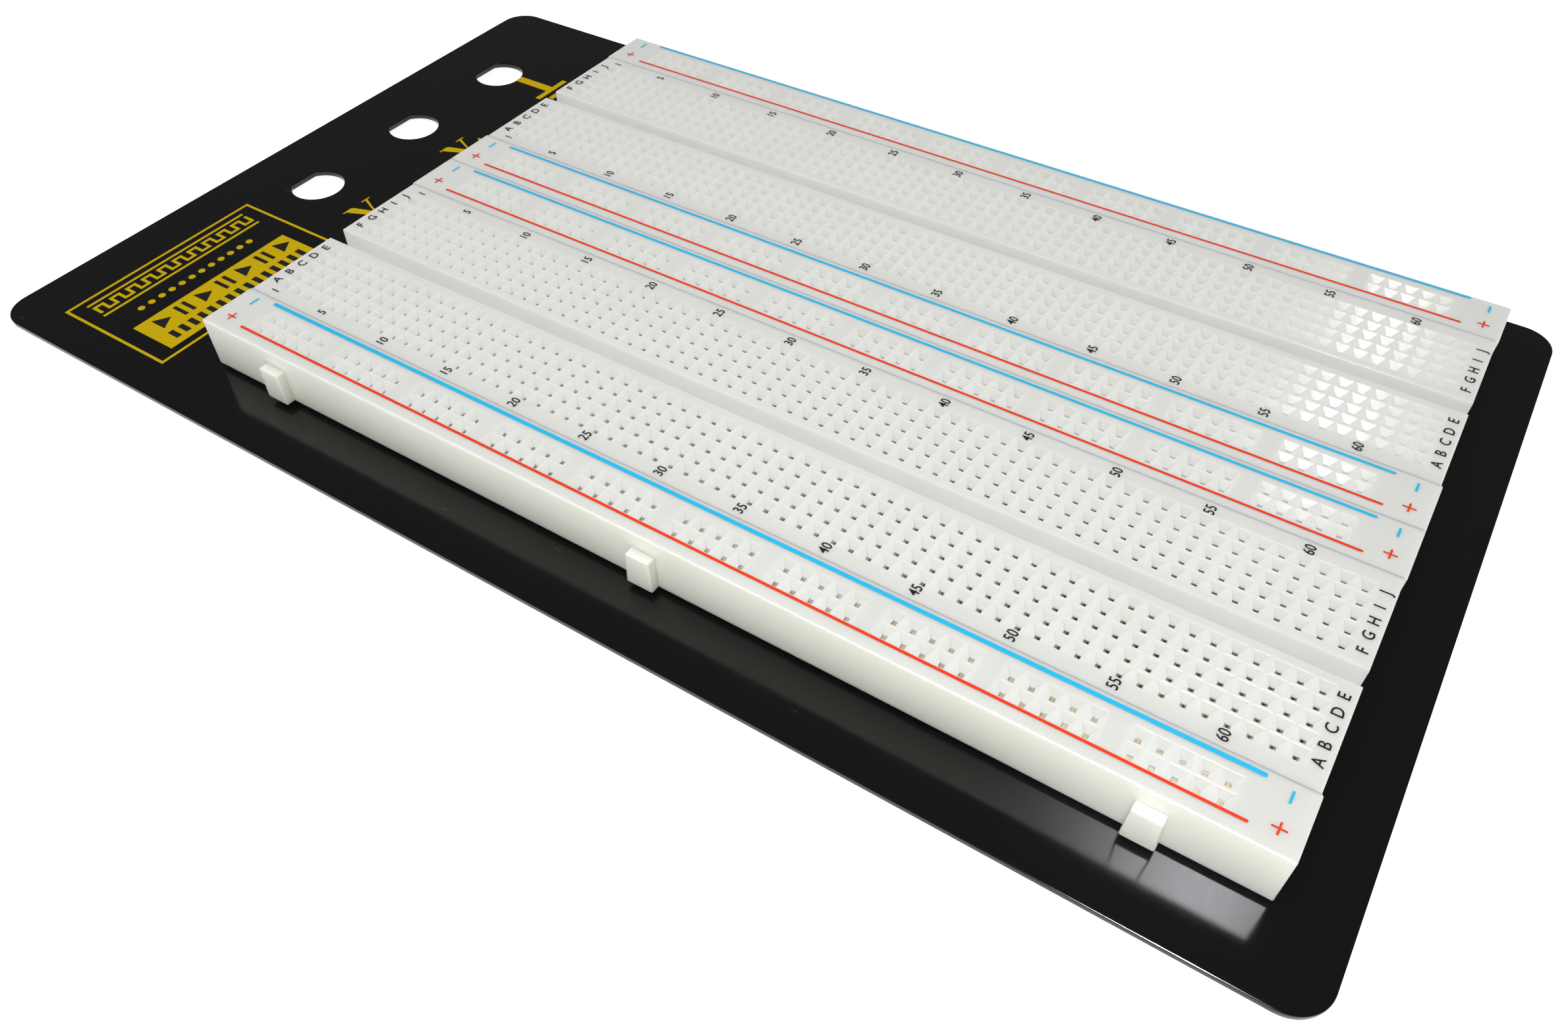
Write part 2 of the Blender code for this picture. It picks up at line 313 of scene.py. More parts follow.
def combine(piece, bm, operation):
    """Cut a helper solid away from a piece, or join it on, and drop the helper."""
    helper = mesh_object("helper", bm)
    modifier = piece.modifiers.new("combine", "BOOLEAN")
    modifier.operation = operation
    modifier.solver = "EXACT"
    modifier.object = helper
    graph = bpy.context.evaluated_depsgraph_get()
    mesh = bpy.data.meshes.new_from_object(piece.evaluated_get(graph))
    bm = bmesh.new()
    bm.from_mesh(mesh)
    bmesh.ops.remove_doubles(bm, verts=bm.verts, dist=WELD_DISTANCE)
    bmesh.ops.dissolve_degenerate(bm, edges=bm.edges, dist=WELD_DISTANCE)
    bm.to_mesh(mesh)
    bm.free()
    piece.modifiers.clear()
    old = piece.data
    piece.data = mesh
    bpy.data.meshes.remove(old)
    bpy.data.objects.remove(helper)


def finish_surface(piece, material, smooth_angle):
    """Give a cut piece its one material, and smooth shading across edges up to the angle."""
    mesh = piece.data
    mesh.materials.clear()
    mesh.materials.append(material)
    mesh.shade_smooth()
    mesh.set_sharp_from_angle(angle=math.radians(smooth_angle))


def flat_shading(mesh):
    """The shading normal of each face corner, with large flat faces kept flat up to their rounded rims."""
    rims = {}
    for face in mesh.polygons:
        if face.area > FLAT_AREA:
            for vertex in face.vertices:
                rims.setdefault(vertex, []).append(face.normal.copy())
    normals = []
    for loop, corner in zip(mesh.loops, mesh.corner_normals):
        normal = Vector(corner.vector)
        for flat in rims.get(loop.vertex_index, ()):
            if flat.dot(normal) > RIM_LIMIT:
                normal = flat
        normals.append(normal)
    return normals


# ---------------------------------------------------------------- strips

def rounded_block(name, length, width, height, open_sides):
    """A block whose top is at z = 0, with its upright and upper edges rounded."""
    bm = bmesh.new()
    add_box(bm, (-length / 2, -width / 2, -height), (length / 2, width / 2, 0.0))
    edges = [e for e in bm.edges if max(v.co.z for v in e.verts) > -height / 2]
    bmesh.ops.bevel(bm, geom=edges, offset=EDGE_ROUNDING, segments=4, profile=0.5, affect="EDGES")
    narrow_seams(bm, length, width, open_sides)
    return mesh_object(name, bm)


def narrow_seams(bm, length, width, open_sides):
    """Shrink the rounding of the long upper edges, except on sides that meet no other strip."""
    zone = EDGE_ROUNDING + WELD_DISTANCE
    reach = length / 2 - EDGE_ROUNDING + WELD_DISTANCE
    keep = SEAM_ROUNDING / EDGE_ROUNDING
    for vert in bm.verts:
        side = math.copysign(1, vert.co.y)
        from_side = width / 2 - abs(vert.co.y)
        on_rim = from_side < zone and vert.co.z > -zone and abs(vert.co.x) < reach
        if on_rim and side not in open_sides:
            vert.co.y = side * (width / 2 - from_side * keep)
            vert.co.z *= keep


def add_tabs(piece, width, height):
    """Joining tabs on the front face, and slots in the rear face that take the next strip's tabs."""
    xs = [i * TAB_SPACING for i in (-1, 0, 1)]
    middle_y = -width / 2 + (TAB_ROOT - TAB_REACH) / 2
    half_y = (TAB_REACH + TAB_ROOT) / 2
    top = -height + TAB_HEIGHT
    bm = bmesh.new()
    for x in xs:
        add_rings(bm, [rectangle(x, middle_y, TAB_BOTTOM_WIDTH / 2, half_y, -height),
                       rectangle(x, middle_y, TAB_TOP_WIDTH / 2, half_y, top)])
    edges = [e for e in bm.edges if min(v.co.y for v in e.verts) < -width / 2 - TAB_REACH / 2]
    bmesh.ops.bevel(bm, geom=edges, offset=TAB_ROUNDING, segments=3, profile=0.5, affect="EDGES")
    bmesh.ops.triangulate(bm, faces=bm.faces)
    combine(piece, bm, "UNION")
    half_x = TAB_BOTTOM_WIDTH / 2 + TAB_CLEARANCE
    bm = bmesh.new()
    for x in xs:
        add_box(bm, (x - half_x, width / 2 - TAB_REACH - TAB_CLEARANCE, -height - OVERCUT),
                (x + half_x, width / 2 + OVERCUT, top + TAB_CLEARANCE))
    combine(piece, bm, "DIFFERENCE")


def add_gutter(piece, length):
    """The channel between the two halves, with rounded lips and a chamfered floor."""
    half = GUTTER_WIDTH / 2
    profile = [(half + GUTTER_LIP + OVERCUT, OVERCUT)]
    profile += [(half + inset, -drop) for inset, drop in rounding_curve(GUTTER_LIP, 4)]
    profile += [(half, -GUTTER_DEPTH + GUTTER_LIP), (half - GUTTER_LIP, -GUTTER_DEPTH)]
    outline = profile + [(-y, z) for y, z in reversed(profile)]
    reach = length / 2 + OVERCUT
    bm = bmesh.new()
    add_rings(bm, [[(x, y, z) for y, z in outline] for x in (-reach, reach)])
    combine(piece, bm, "DIFFERENCE")


def cut_pockets(piece, places, half_x, half_y, height):
    bm = bmesh.new()
    for x, y in places:
        add_rings(bm, [rectangle(x, y, half_x, half_y, -height - OVERCUT),
                       rectangle(x, y, half_x, half_y, -POCKET_ROOF)])
    combine(piece, bm, "DIFFERENCE")


def cut_holes(piece, places):
    """Square funnels, each with a chamfered lip and a straight tube below it."""
    mouth = MOUTH / 2
    overshoot = LIP / 2
    brim = mouth + LIP + overshoot
    bm = bmesh.new()
    for x, y in places:
        add_rings(bm, [
            rectangle(x, y, THROAT / 2, THROAT / 2, -TUBE_DEPTH),
            rectangle(x, y, THROAT / 2, THROAT / 2, -FUNNEL_DEPTH),
            rectangle(x, y, mouth, mouth, -LIP),
            rectangle(x, y, brim, brim, overshoot),
        ])
    combine(piece, bm, "DIFFERENCE")


def column_x(column):
    """The local x of a numbered column."""
    return (column - 1 - (COLUMNS - 1) / 2) * PITCH


def terminal_rows():
    rear = [FIRST_ROW + i * PITCH for i in range(ROWS)]
    return [-y for y in reversed(rear)] + rear


def bus_hole_xs():
    first = -BUS_GROUP_REACH - 2 * PITCH
    return [first + g * BUS_GROUP_STEP + i * PITCH for g in range(BUS_GROUPS) for i in range(ROWS)]


def terminal_body(length, width, height, open_sides):
    piece = rounded_block("terminal_body", length, width, height, open_sides)
    add_tabs(piece, width, height)
    add_gutter(piece, length)
    columns = [column_x(c) for c in range(1, COLUMNS + 1)]
    pockets = [(x, y) for x in columns for y in (-MIDDLE_ROW, MIDDLE_ROW)]
    cut_pockets(piece, pockets, POCKET_WIDTH / 2, POCKET_LENGTH / 2, height)
    cut_holes(piece, [(x, y) for x in columns for y in terminal_rows()])
    return piece


def bus_body(length, width, height, open_sides):
    piece = rounded_block("bus_body", length, width, height, open_sides)
    add_tabs(piece, width, height)
    half_x = BUS_GROUP_REACH + POCKET_LENGTH / 2
    cut_pockets(piece, [(0.0, -BUS_ROW), (0.0, BUS_ROW)], half_x, POCKET_WIDTH / 2, height)
    cut_holes(piece, [(x, y) for x in bus_hole_xs() for y in (-BUS_ROW, BUS_ROW)])
    return piece


def soften_recesses(piece, length, width):
    """Turn the shading of funnel and gutter walls upwards, since the plastic glows evenly there."""
    mesh = piece.data
    up = Vector((0.0, 0.0, 1.0))
    half_x, half_y = length / 2 - 2 * EDGE_ROUNDING, width / 2 - 2 * EDGE_ROUNDING
    gutter = GUTTER_WIDTH / 2 + 2 * GUTTER_LIP
    normals = []
    for loop, normal in zip(mesh.loops, flat_shading(mesh)):
        x, y, z = mesh.vertices[loop.vertex_index].co
        in_funnel = z > -FUNNEL_DEPTH - WELD_DISTANCE and abs(x) < half_x and abs(y) < half_y
        over_gutter = abs(y) < gutter and abs(x) < length / 2 + OVERCUT
        in_gutter = z > -GUTTER_DEPTH - WELD_DISTANCE and over_gutter
        if normal.z > LOWEST_SOFT_NORMAL and (in_funnel or in_gutter):
            normal = normal.lerp(up, RECESS_SOFTNESS).normalized()
        normals.append(normal)
    mesh.normals_split_custom_set(normals)


def strip_place(node):
    """Middle of a CAD strip's top face, its length, its width without the tabs, and its height."""
    low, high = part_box(node)
    front = low.y + TAB_REACH
    middle = Vector(((low.x + high.x) / 2, (front + high.y) / 2, high.z))
    return middle, high.x - low.x, high.y - front + CAD_SEAM - SEAM, high.z - low.z


def strip_moulding(build, node, open_sides, material):
    """A finished strip of the given CAD strip's size. open_sides are the sides that meet no other strip."""
    _, length, width, height = strip_place(node)
    piece = build(length, width, height, open_sides)
    finish_surface(piece, material, STRIP_SMOOTH_ANGLE)
    soften_recesses(piece, length, width)
    return piece


# ---------------------------------------------------------------- contacts

def add_clip(bm, x, y, along_x):
    """A folded strip with one pair of sprung fingers under each of five holes, running along X or Y."""
    def point(run, across, z):
        return (x + run, y + across, z) if along_x else (x + across, y + run, z)

    reach = (ROWS - 1) / 2 * PITCH + CLIP_FINGER_WIDTH / 2
    half = CLIP_BASE_WIDTH / 2
    add_rings(bm, [[point(-reach, -half, z), point(reach, -half, z), point(reach, half, z),
                    point(-reach, half, z)] for z in (CLIP_BASE_Z - CLIP_SHEET, CLIP_BASE_Z)])
    for i in range(ROWS):
        middle = (i - (ROWS - 1) / 2) * PITCH
        near, far = middle - CLIP_FINGER_WIDTH / 2, middle + CLIP_FINGER_WIDTH / 2
        for side in (-1, 1):
            rings = []
            for across, z in CLIP_FINGER:
                inner, outer = side * (across - CLIP_SHEET / 2), side * (across + CLIP_SHEET / 2)
                rings.append([point(near, inner, z), point(far, inner, z),
                              point(far, outer, z), point(near, outer, z)])
            add_rings(bm, rings)


def terminal_clips(name, material):
    bm = bmesh.new()
    for column in range(1, COLUMNS + 1):
        for y in (-MIDDLE_ROW, MIDDLE_ROW):
            add_clip(bm, column_x(column), y, along_x=False)
    return mesh_object(name, bm, material)


def bus_rail(name, row, material):
    """One long rail: groups of five finger pairs on a base strip that runs the whole length."""
    bm = bmesh.new()
    for group in range(BUS_GROUPS):
        add_clip(bm, (group - (BUS_GROUPS - 1) / 2) * BUS_GROUP_STEP, row, along_x=True)
    reach = BUS_GROUP_REACH + 2 * PITCH
    top = CLIP_BASE_Z - CLIP_SHEET / 4
    add_box(bm, (-reach, row - RAIL_LINK_WIDTH / 2, top - CLIP_SHEET / 2),
            (reach, row + RAIL_LINK_WIDTH / 2, top))
    return mesh_object(name, bm, material)


# ---------------------------------------------------------------- printed marks

def bar(x0, y0, x1, y1):
    return [(x0, y0), (x1, y0), (x1, y1), (x0, y1)]


def capsule(x0, x1, y, width):
    """A line along X with round ends."""
    r = width / 2
    return arc(x1 - r, y, r, -90, 90, 8) + arc(x0 + r, y, r, 90, 270, 8)


def add_flat(bm, outline, z):
    """A thin layer of ink with its underside at the given height."""
    add_rings(bm, [[(x, y, z + dz) for x, y in outline] for dz in (0.0, INK_THICKNESS)])


def text_mesh(words, weight=0.0):
    """Plain lettering of size 1 as a solid, centred, reading along +X."""
    curve = bpy.data.curves.new("words", "FONT")
    curve.body = words
    curve.align_x = "CENTER"
    curve.extrude = 0.5
    curve.offset = weight
    curve.resolution_u = 4
    item = bpy.data.objects.new("words", curve)
    bpy.context.scene.collection.objects.link(item)
    bpy.context.view_layer.update()
    graph = bpy.context.evaluated_depsgraph_get()
    mesh = bpy.data.meshes.new_from_object(item.evaluated_get(graph))
    bpy.data.objects.remove(item)
    bpy.data.curves.remove(curve)
    return mesh


@functools.cache
def cap_ratio():
    """Height of a capital letter of size 1."""
    mesh = text_mesh("H")
    heights = [v.co.y for v in mesh.vertices]
    bpy.data.meshes.remove(mesh)
    return max(heights) - min(heights)


def add_text(bm, words, x, y, z, height, squeeze=1.0, weight=0.0):
    """Lettering centred on a point, reading along +Y with its top towards -X, with the given cap height."""
    mesh = text_mesh(words, weight)
    scale = height / cap_ratio()
    xs = [v.co.x for v in mesh.vertices]
    middle = (min(xs) + max(xs)) / 2
    for vert in mesh.vertices:
        across = (vert.co.x - middle) * scale * squeeze
        up = vert.co.y * scale - height / 2
        vert.co = (x - up, y + across, z + (INK_THICKNESS if vert.co.z > 0 else 0.0))
    bm.from_mesh(mesh)
    bpy.data.meshes.remove(mesh)


def terminal_print(name, material):
    """Row letters at both ends, and every fifth column's number along both long sides."""
    bm = bmesh.new()
    rows = terminal_rows()
    for x in MARK_X.values():
        for letter, y in zip(ROW_LETTERS, rows):
            add_text(bm, letter, x, y, INK_LIFT, CAP_HEIGHT, LETTER_SQUEEZE, LETTER_WEIGHT)
    for number in [1] + list(range(5, COLUMNS, 5)):
        x = column_x(number)
        for y in (rows[0] - NUMBER_OFFSET, rows[-1] + NUMBER_OFFSET):
            add_text(bm, str(number), x, y, INK_LIFT, CAP_HEIGHT, NUMBER_SQUEEZE, LETTER_WEIGHT)
    return mesh_object(name, bm, material)


def minus_outline(x):
    half, stroke = SIGN_LENGTH / 2, MINUS_STROKE / 2
    return bar(x - stroke, MINUS_OFFSET - half, x + stroke, MINUS_OFFSET + half)


def plus_outline(x):
    y, half, stroke = PLUS_OFFSET, SIGN_LENGTH / 2, PLUS_STROKE / 2
    return [(x - half, y - stroke), (x - stroke, y - stroke), (x - stroke, y - half),
            (x + stroke, y - half), (x + stroke, y - stroke), (x + half, y - stroke),
            (x + half, y + stroke), (x + stroke, y + stroke), (x + stroke, y + half),
            (x - stroke, y + half), (x - stroke, y + stroke), (x - half, y + stroke)]


def bus_print(name, color, place, width, material):
    """One coloured line along a bus strip, with its sign at both ends."""
    bm = bmesh.new()
    add_flat(bm, capsule(LINE_START, LINE_END, place, width), INK_LIFT)
    outline = minus_outline if color == "blue" else plus_outline
    for x in SIGN_X.values():
        add_flat(bm, outline(x), INK_LIFT)
    return mesh_object(name, bm, material)


# ---------------------------------------------------------------- print on the plate

def add_frame(bm, x0, y0, x1, y1, z):
    line = PRINT_LINE
    add_flat(bm, bar(x0, y0, x1, y0 + line), z)
    add_flat(bm, bar(x0, y1 - line, x1, y1), z)
    add_flat(bm, bar(x0, y0 + line, x0 + line, y1 - line), z)
    add_flat(bm, bar(x1 - line, y0 + line, x1, y1 - line), z)


def add_wave(bm, x0, y0, x1, y1, z):
    """A band of upright bars linked in turn at their tops and bottoms, as a clock signal is drawn."""
    pitch = (y1 - y0 - WAVE_STROKE) / WAVE_STEPS
    for i in range(WAVE_STEPS + 1):
        y = y0 + i * pitch
        add_flat(bm, bar(x0, y, x1, y + WAVE_STROKE), z)
        if i < WAVE_STEPS:
            edge = x1 - WAVE_STROKE if i % 2 else x0
            add_flat(bm, bar(edge, y + WAVE_STROKE, edge + WAVE_STROKE, y + pitch), z)


def dot(x, y, radius):
    """A round dot, as an outline with 24 corners."""
    return arc(x, y, radius, 0, 345, 23)


def serif_v(bm, x, y, width, height, z):
    """A roman V in plain shapes, reading along +Y with its top towards -X.

    Its corners are shares of half its width, of its thick stroke and of its height.
    """
    def flat(points):
        add_flat(bm, [(x + down, y + across) for across, down in points], z)

    half = width / 2
    thick, thin, serif = width * V_THICK_STROKE, width * V_THIN_STROKE, height * V_SERIF
    flat([(-half * 0.82, serif), (-half * 0.82 + thick, serif), (thick * 0.30, height * 0.80),
          (0.0, height), (-thick * 0.20, height)])
    flat([(half * 0.80 - thin, serif), (half * 0.80, serif), (0.0, height), (-thick * 0.02, height * 0.90)])
    flat([(-half, 0.0), (-half * 0.36, 0.0), (-half * 0.36, serif), (-half, serif)])
    flat([(half * 0.40, 0.0), (half, 0.0), (half, serif), (half * 0.40, serif)])


def yellow_print(name, z, material):
    """A framed label with ruled and dotted rows and a solid block, and a sign beside each post hole."""
    bm = bmesh.new()
    add_frame(bm, *LABEL_FRAME, z)
    for rule in TITLE_RULES:
        add_flat(bm, bar(*rule), z)
    add_wave(bm, *WAVE, z)
    for i in range(DOTS):
        add_flat(bm, dot(DOT_X, FIRST_DOT_Y + i * DOT_STEP, DOT_RADIUS), z)
    add_flat(bm, bar(*LABEL_BLOCK), z)
    for index, y in V_PLACES.items():
        serif_v(bm, V_X, y, V_WIDTH, V_HEIGHT, z)
        add_text(bm, index, INDEX_X, y + INDEX_OFFSET, z, INDEX_HEIGHT, 1.0, INDEX_WEIGHT)
    add_flat(bm, bar(*GROUND_STEM), z)
    for x, half in GROUND_BARS:
        add_flat(bm, bar(x, GROUND_Y - half, x + GROUND_BAR_WIDTH, GROUND_Y + half), z)
    return mesh_object(name, bm, material)


def black_print(name, z, material):
    """A row of triangles and pairs of bars in turn, and a row of dashes, on the yellow block."""
    bm = bmesh.new()
    x0, x1 = SYMBOL_TOP_X, SYMBOL_BOTTOM_X
    for i in range(SYMBOLS):
        y = FIRST_SYMBOL_Y + i * SYMBOL_STEP
        if i % 2:
            add_flat(bm, bar(x0, y, x1, y + BAR_WIDTH), z)
            add_flat(bm, bar(x0, y + BAR_STEP, x1, y + BAR_STEP + BAR_WIDTH), z)
        else:
            add_flat(bm, [(x0, y), (x1, y), ((x0 + x1) / 2, y + TRIANGLE_WIDTH)], z)
    for i in range(DASHES):
        y = FIRST_DASH_Y + i * DASH_STEP
        add_flat(bm, bar(DASH_TOP_X, y, DASH_BOTTOM_X, y + DASH_WIDTH), z)
    return mesh_object(name, bm, material)


# ---------------------------------------------------------------- materials

def shader_tree(name, settings):
    """A new material with one Principled shader, whose named inputs are set."""
    material = bpy.data.materials.new(name)
    material.use_nodes = True
    tree = material.node_tree
    shader = tree.nodes["Principled BSDF"]
    for socket, value in settings.items():
        shader.inputs[socket].default_value = value
    return material, tree, shader


def place_vector(tree, stretch=(1.0, 1.0, 1.0)):
    place = tree.nodes.new("ShaderNodeTexCoord")
    scale = tree.nodes.new("ShaderNodeVectorMath")
    scale.operation = "MULTIPLY"
    scale.inputs[1].default_value = stretch
    tree.links.new(place.outputs["Object"], scale.inputs[0])
    return scale.outputs[0]


def vector_parts(tree, vector):
    node = tree.nodes.new("ShaderNodeSeparateXYZ")
    tree.links.new(vector, node.inputs[0])
    return node.outputs


def agreement(tree, first, second):
    """The cosine of the angle between two directions."""
    node = tree.nodes.new("ShaderNodeVectorMath")
    node.operation = "DOT_PRODUCT"
    tree.links.new(first, node.inputs[0])
    tree.links.new(second, node.inputs[1])
    return node.outputs["Value"]


def noise(tree, vector, size, detail=3.0):
    """Soft noise whose lumps are about the given size in metres."""
    node = tree.nodes.new("ShaderNodeTexNoise")
    node.inputs["Scale"].default_value = 1.0 / size
    node.inputs["Detail"].default_value = detail
    node.inputs["Roughness"].default_value = 0.5
    tree.links.new(vector, node.inputs["Vector"])
    return node.outputs["Fac"]


def cells(tree, vector, size):
    """Distance from the nearest of many scattered points, for cells of about the given size in metres."""
    node = tree.nodes.new("ShaderNodeTexVoronoi")
    node.inputs["Scale"].default_value = 1.0 / size
    tree.links.new(vector, node.inputs["Vector"])
    return node.outputs["Distance"]


def ramp(tree, value, low, high, low_value=0.0, high_value=1.0):
    node = tree.nodes.new("ShaderNodeMapRange")
    node.inputs["From Min"].default_value = low
    node.inputs["From Max"].default_value = high
    node.inputs["To Min"].default_value = low_value
    node.inputs["To Max"].default_value = high_value
    tree.links.new(value, node.inputs["Value"])
    return node.outputs["Result"]


def arithmetic(tree, operation, first, second=0.0):
    node = tree.nodes.new("ShaderNodeMath")
    node.operation = operation
    for socket, value in zip(node.inputs, (first, second)):
        if isinstance(value, (int, float)):
            socket.default_value = value
        else:
            tree.links.new(value, socket)
    return node.outputs[0]


def distance_from(tree, value, centre):
    return arithmetic(tree, "ABSOLUTE", arithmetic(tree, "SUBTRACT", value, centre))


def blend_colors(tree, factor, first, second):
    node = tree.nodes.new("ShaderNodeMix")
    node.data_type = "RGBA"
    for socket, color in ((node.inputs[6], first), (node.inputs[7], second)):
        if isinstance(color, tuple):
            socket.default_value = (*color, 1.0)
        else:
            tree.links.new(color, socket)
    tree.links.new(factor, node.inputs[0])
    return node.outputs[2]


def bump(tree, height, distance, strength):
    node = tree.nodes.new("ShaderNodeBump")
    node.inputs["Distance"].default_value = distance
    node.inputs["Strength"].default_value = strength
    tree.links.new(height, node.inputs["Height"])
    return node


def white_plastic():
    """Moulded white plastic, slightly translucent, with a creamier painted shade on its steep outer sides.
    """
    material, tree, shader = shader_tree("white_plastic", {
        "Roughness": 0.36,
        "Specular IOR Level": 0.0,
        "Subsurface Weight": 1.0,
        "Subsurface Radius": PLASTIC_GLOW,
        "Subsurface Scale": 0.0011,
    })
    vector = place_vector(tree)
    height = vector_parts(tree, vector)[2]
    geometry = tree.nodes.new("ShaderNodeNewGeometry")
    face_normal = geometry.outputs["True Normal"]
    _, facing_y, facing_z = vector_parts(tree, face_normal)
    steepness = arithmetic(tree, "ABSOLUTE", facing_z)

    # Recesses are where the shading normal was turned away from the face's own normal.
    recess = ramp(tree, agreement(tree, geometry.outputs["Normal"], face_normal), 0.90, 0.80)
    outside = arithmetic(tree, "SUBTRACT", 1.0, recess)
    cloud = ramp(tree, noise(tree, vector, 0.012), 0.3, 0.7)
    face = blend_colors(tree, cloud, PLASTIC_DARK, PLASTIC_LIGHT)
    # Painted shade: steep outer faces outside the recesses get the creamier, slightly darker colour of less
    # directly lit plastic.
    side = arithmetic(tree, "MULTIPLY", ramp(tree, steepness, 0.35, 0.05), outside)
    tree.links.new(blend_colors(tree, side, face, PLASTIC_SHADED_SIDE), shader.inputs["Base Color"])

    # The coat gives the gloss. It is faint on rounded rims and on funnel walls that don't face the front.
    sloping = ramp(tree, distance_from(tree, facing_z, 0.60), 0.06, 0.12, 1.0, 0.0)
    wall = arithmetic(tree, "MULTIPLY", sloping, recess)
    dull_wall = arithmetic(tree, "MULTIPLY", wall, ramp(tree, facing_y, -0.6, -0.4))
    rim = ramp(tree, distance_from(tree, facing_z, 0.55), 0.40, 0.44, 1.0, 0.0)
    dull = arithmetic(tree, "MAXIMUM", dull_wall, arithmetic(tree, "MULTIPLY", rim, outside))
    tree.links.new(ramp(tree, dull, 0.0, 1.0, 1.0, 0.2), shader.inputs["Coat Weight"])
    satin = ramp(tree, noise(tree, vector, 0.0004), 0.3, 0.7, 0.36, 0.40)
    polish = ramp(tree, wall, 0.0, 1.0, 1.0, 0.45)
    tree.links.new(arithmetic(tree, "MULTIPLY", satin, polish), shader.inputs["Coat Roughness"])

    # Fine level tool lines mark steep walls down to the funnels' depth, and a fine grain covers everything.
    turns = arithmetic(tree, "MULTIPLY", height, 2 * math.pi / 0.00012)
    lines = arithmetic(tree, "MULTIPLY", arithmetic(tree, "SINE", turns), ramp(tree, steepness, 0.75, 0.65))
    lines = arithmetic(tree, "MULTIPLY", lines, ramp(tree, height, -0.00110, -0.00100))
    grain = noise(tree, vector, 0.00025, detail=2.0)
    relief = arithmetic(tree, "ADD", arithmetic(tree, "MULTIPLY", lines, 0.5), grain)
    surface = bump(tree, relief, 0.000006, 0.6)
    tree.links.new(face_normal, surface.inputs["Normal"])
    tree.links.new(surface.outputs["Normal"], shader.inputs["Coat Normal"])
    return material


def ink(name, color, roughness):
    """Matt ink of slightly uneven strength."""
    material, tree, shader = shader_tree(name, {"Roughness": roughness, "Specular IOR Level": 0.2})
    thin = tuple(c * 0.9 for c in color)
    patches = noise(tree, place_vector(tree), 0.0004)
    tree.links.new(blend_colors(tree, patches, thin, color), shader.inputs["Base Color"])
    return material


def black_gloss():
    """Glossy black paint with dust, faint haze and a few fine scratches."""
    material, tree, shader = shader_tree("gloss_black_paint", {"Specular IOR Level": 0.4})
    vector = place_vector(tree)
    specks = ramp(tree, cells(tree, vector, 0.0032), 0.030, 0.018)
    dusty = ramp(tree, noise(tree, vector, 0.02), 0.52, 0.60)
    streaks = noise(tree, place_vector(tree, (0.05, 1.0, 1.0)), 0.00035, detail=1.0)
    scratches = arithmetic(tree, "MULTIPLY", ramp(tree, streaks, 0.80, 0.83), 0.5)
    marks = arithmetic(tree, "MAXIMUM", arithmetic(tree, "MULTIPLY", specks, dusty), scratches)
    tree.links.new(blend_colors(tree, marks, GLOSS_BLACK, DUST), shader.inputs["Base Color"])
    rough_marks = arithmetic(tree, "MULTIPLY", marks, 0.4)
    haze = ramp(tree, noise(tree, vector, 0.015), 0.3, 0.7, 0.09, 0.15)
    tree.links.new(arithmetic(tree, "ADD", haze, rough_marks), shader.inputs["Roughness"])
    peel = arithmetic(tree, "ADD", noise(tree, vector, 0.0016), rough_marks)
    tree.links.new(bump(tree, peel, 0.000003, 0.5).outputs["Normal"], shader.inputs["Normal"])
    return material


def rubber():
    material, tree, shader = shader_tree("black_rubber", {"Roughness": 0.75})
    grain = noise(tree, place_vector(tree), 0.0003)
    tree.links.new(blend_colors(tree, grain, RUBBER_DARK, RUBBER_LIGHT), shader.inputs["Base Color"])
    tree.links.new(bump(tree, grain, 0.00003, 0.6).outputs["Normal"], shader.inputs["Normal"])
    return material


def foam_skin():
    material, tree, shader = shader_tree("adhesive_foam", {"Roughness": 0.9})
    bubbles = cells(tree, place_vector(tree), 0.0003)
    tree.links.new(blend_colors(tree, bubbles, FOAM_DARK, FOAM_LIGHT), shader.inputs["Base Color"])
    tree.links.new(bump(tree, bubbles, 0.00008, 0.8).outputs["Normal"], shader.inputs["Normal"])
    return material


def spring_metal():
    """Plated spring metal with patches of tarnish."""
    material, tree, shader = shader_tree("contact_metal", {"Metallic": 0.35})
    vector = place_vector(tree)
    tarnish = ramp(tree, noise(tree, vector, 0.0012), 0.35, 0.65)
    tree.links.new(blend_colors(tree, tarnish, METAL_BRIGHT, METAL_TARNISH), shader.inputs["Base Color"])
    tree.links.new(ramp(tree, noise(tree, vector, 0.0003), 0.3, 0.7, 0.20, 0.38), shader.inputs["Roughness"])
    return material


# ---------------------------------------------------------------- plate, feet and foam

def plate_outline(low, high, inset):
    radius = PLATE_CORNER_RADIUS - inset
    x0, x1 = low.x + PLATE_CORNER_RADIUS, high.x - PLATE_CORNER_RADIUS
    y0, y1 = low.y + PLATE_CORNER_RADIUS, high.y - PLATE_CORNER_RADIUS
    points = []
    for (x, y), start in (((x1, y1), 0), ((x0, y1), 90), ((x0, y0), 180), ((x1, y0), 270)):
        points += arc(x, y, radius, start, start + 90, CORNER_STEPS)
    return points


def post_hole_outline(y, grow):
    radius, flat = POST_HOLE_RADIUS + grow, POST_HOLE_FLAT + grow
    limit = 180 - math.degrees(math.acos(flat / radius))
    return arc(POST_HOLE_X, y, radius, -limit, limit, POST_HOLE_STEPS)


def rounded_levels(bottom, top, rounding):
    """Pairs of inset and height that round off both rims of a sheet's edge."""
    curve = rounding_curve(rounding, 4)
    lower = [(inset, bottom + rise) for inset, rise in curve]
    upper = [(inset, top - rise) for inset, rise in reversed(curve)]
    return lower + upper


